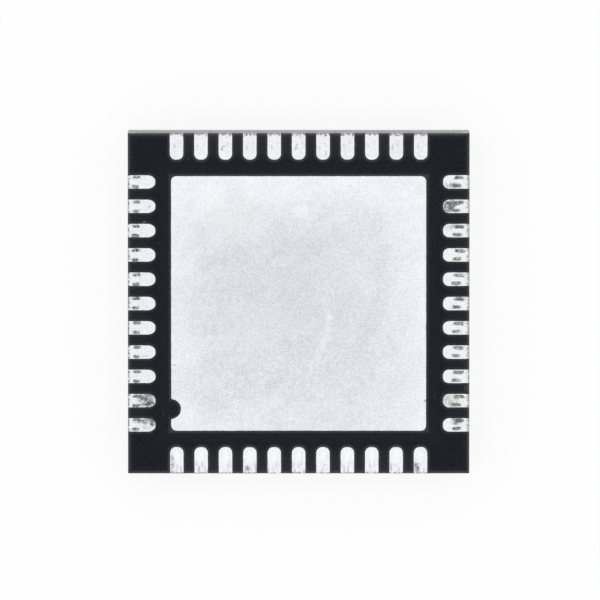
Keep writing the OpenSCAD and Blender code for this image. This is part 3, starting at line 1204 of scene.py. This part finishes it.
def die_cutters():
    """The makers that cut the pockets of the adhesive and the die."""
    # The pockets reach a little into each other, so that no thin wall is left between them
    past = Vector((0, 0, CUT_PAST / 10))
    attach = box_blank("attach_cutter", ATTACH_LOW, ATTACH_HIGH + past)
    return [attach, box_blank("die_cutter", DIE_LOW, DIE_HIGH + past)]


def make_moulding(cutters):
    """Makes the moulding, with all that the cutters take out of it."""
    block = mould_block()
    for cutter in cutters:
        modifier = block.modifiers.new(cutter.name, "BOOLEAN")
        modifier.operation = "DIFFERENCE"
        modifier.solver = "MANIFOLD"
        modifier.object = cutter
    moulding = settle(block, "moulding")
    moulding.data.materials.clear()
    moulding.data.materials.append(mould_face_finish())
    moulding.data.materials.append(mould_wall_finish())
    for face in moulding.data.polygons:
        middle = face.center / MM
        at_wall = max(abs(middle.x), abs(middle.y)) > WALL - CHIP_MOST
        face.material_index = int(at_wall and abs(face.normal.z) < SAWN)
    mount(moulding, ["mould_body"])


def wire_lines():
    """The route of every wire: up from the die, round its bend and straight to its lead."""
    mesh = bmesh.new()
    loop_z = DIE_LOW.z - LOOP_HEIGHT
    for side in range(len(SIDES)):
        spin = Matrix.Rotation(-side * math.pi / 2, 3, "Z")
        for lead in range(LEADS_PER_SIDE):
            share = lead / (LEADS_PER_SIDE - 1) - 0.5
            on_die = spin @ Vector((-DIE_BOND, share * BOND_ROW, 0))
            on_lead = spin @ Vector((-LEAD_BOND, share * LEAD_ROW, 0))
            span = (on_lead - on_die).length
            outward = (on_lead - on_die) / span
            drop = FRAME_INNER - BALL_SEAT - loop_z - BEND_RADIUS
            reach = span - BEND_RADIUS
            slope = math.atan2(drop, reach) + math.asin(BEND_RADIUS / math.hypot(drop, reach))
            bend = arc((BEND_RADIUS, -BEND_RADIUS), BEND_RADIUS, 180, 90 - math.degrees(slope), BEND_STEPS)
            route = [(0.0, loop_z - DIE_LOW.z + BALL_SEAT)] + bend + [(span, -drop - BEND_RADIUS)]
            corners = [mesh.verts.new(on_die + outward * x + Vector((0, 0, loop_z - y))) for x, y in route]
            for start, end in zip(corners, corners[1:]):
                mesh.edges.new((start, end))
    return to_maker("wire_lines", mesh)


def make_wires():
    """Makes the bond wires."""
    lines = wire_lines()
    ball = {"Wire_Radius": WIRE_RADIUS, "Ball_Radius": BALL_RADIUS, "Ball_Height": BALL_SEAT}
    grow(lines, drawn_wire_tree(), Metal=inner_finish("gold_wire"), **ball)
    mount(settle(lines, "wire_loops", SHARP_WIRE_EDGE), ["bond_wires"])


def finish_die():
    """Covers the adhesive and the die, which stay as the frame has them."""
    for node, kind in (("die_attach", "die_adhesive"), ("silicon_die", "silicon")):
        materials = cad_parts[node].data.materials
        materials.clear()
        materials.append(inner_finish(kind))


def make_chip():
    """Makes every piece of the chip and takes the makers away."""
    cutters = make_leads()
    cutters += [make_paddle(), dimple_blank(), *die_cutters()]
    make_moulding(cutters)
    make_wires()
    finish_die()
    for maker in MAKERS:
        bpy.data.objects.remove(maker)


# Stage

WHITE = (1, 1, 1, 1)
PAPER = (0.97, 0.97, 0.97, 1)
# The floor lies this far below the chip, in millimetres, and reaches this far, in metres
FLOOR_DROP = 0.01
FLOOR_HALF = 0.5
# Heights of the sky at the horizon and where it is brightest, and its strengths there
SKY = (0.0, 0.8, 0.65, 1.0)
# How much of the floor's white is its own, the rest being lit
BACKDROP_SHARE = 0.86
# The way to the lamp, its distance and size in metres, and how brightly it lights the chip
LAMP_WAY = (-0.55, 0.45, 0.9)
LAMP_DISTANCE = 0.12
LAMP_SIZE = 0.16
LAMP_LEVEL = 0.09


def make_floor():
    """A white floor that keeps a soft shadow."""
    mesh = bmesh.new()
    corners = [(-1, -1), (1, -1), (1, 1), (-1, 1)]
    mesh.faces.new([mesh.verts.new((x * FLOOR_HALF, y * FLOOR_HALF, -FLOOR_DROP * MM)) for x, y in corners])
    floor = placed("floor", mesh_data("floor", mesh))
    finish = bpy.data.materials.new("white_floor")
    finish.use_nodes = True
    tree = finish.node_tree
    tree.nodes.clear()
    paper = made("ShaderNodeBsdfDiffuse", {"Color": PAPER}, tree=tree)
    glow = made("ShaderNodeEmission", {"Color": WHITE, "Strength": 1.0}, tree=tree)
    # It glows for rays that see the background: from the camera, from gloss and through clear things
    path = outputs_of(put("ShaderNodeLightPath", {}, tree))
    shine = larger(path["Is Glossy Ray"], path["Is Transmission Ray"])
    share = larger(path["Is Camera Ray"], shine) * BACKDROP_SHARE
    put("ShaderNodeOutputMaterial", {"Surface": made("ShaderNodeMixShader", {0: share, 1: paper, 2: glow})})
    floor.data.materials.append(finish)


def make_lights():
    """A sky that is brightest overhead and one large soft lamp."""
    world = bpy.data.worlds.new("soft_sky")
    bpy.context.scene.world = world
    world.use_nodes = True
    tree = world.node_tree
    height = parts_of(made("ShaderNodeTexCoord", {}, "Generated", tree=tree))[2]
    feed(tree.nodes["Background"], {"Color": WHITE, "Strength": ramp(height, *SKY)})

    data = bpy.data.lights.new("soft_lamp", "AREA")
    data.shape = "DISK"
    data.size = LAMP_SIZE
    data.energy = LAMP_LEVEL * (math.pi * LAMP_DISTANCE) ** 2
    lamp = placed("soft_lamp", data)
    toward = Vector(LAMP_WAY).normalized()
    lamp.location = toward * LAMP_DISTANCE
    lamp.rotation_euler = toward.to_track_quat("Z", "Y").to_euler()
    bpy.context.scene.view_settings.view_transform = "Standard"


make_camera()
make_chip()
make_floor()
make_lights()
